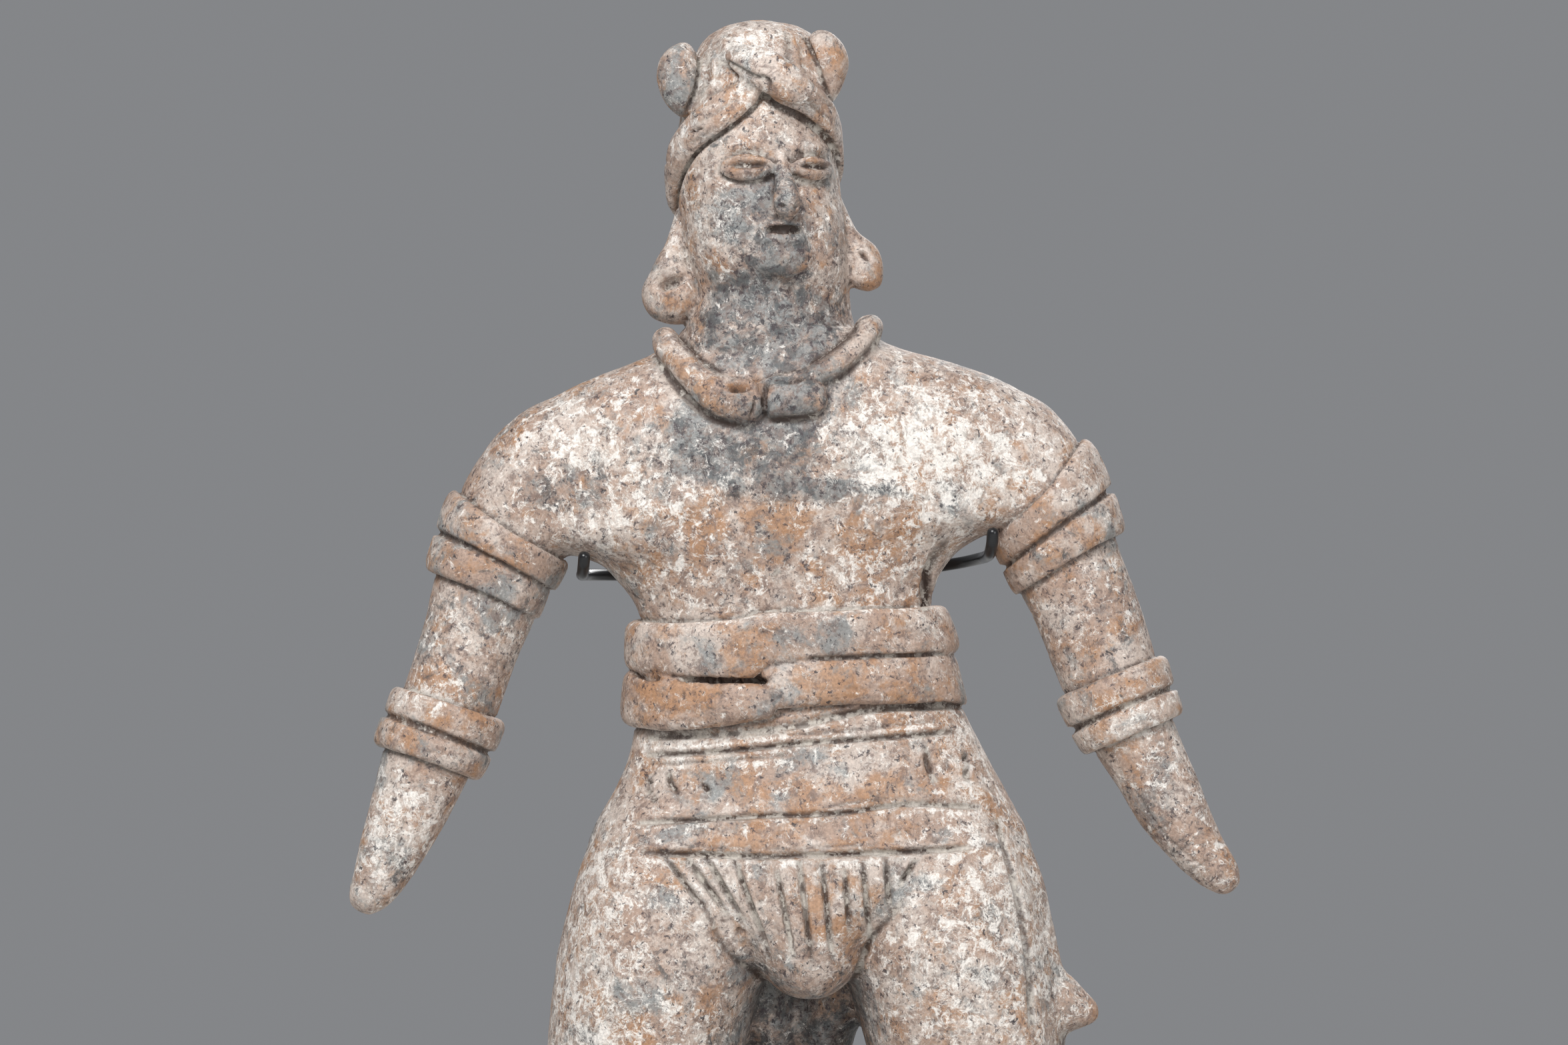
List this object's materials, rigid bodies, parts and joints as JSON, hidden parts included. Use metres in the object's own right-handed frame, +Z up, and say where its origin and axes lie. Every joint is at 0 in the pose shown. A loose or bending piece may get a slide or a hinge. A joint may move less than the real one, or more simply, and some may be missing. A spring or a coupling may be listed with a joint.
{
  "type": "colima standing female figure",
  "caption": "Standing fired-clay female figure with belts, armbands, necklace and ear drops, held on a black steel plate, post and wire fork.",
  "frame": {"origin": "on the underside of the base plate, between the feet of the figure", "axes": "+Z up, the figure faces -Y, +X to the viewer's right"},
  "size_m": [0.2402, 0.124, 0.4055],
  "materials": {
    "fired_clay": "burnished low-fired clay with mineral deposits",
    "black_steel": "satin black"
  },
  "bodies": {
    "root": {"figure": "fired_clay", "stand_base_plate": "black_steel", "stand_post": "black_steel", "stand_fork": "black_steel"}
  },
  "joints": []
}
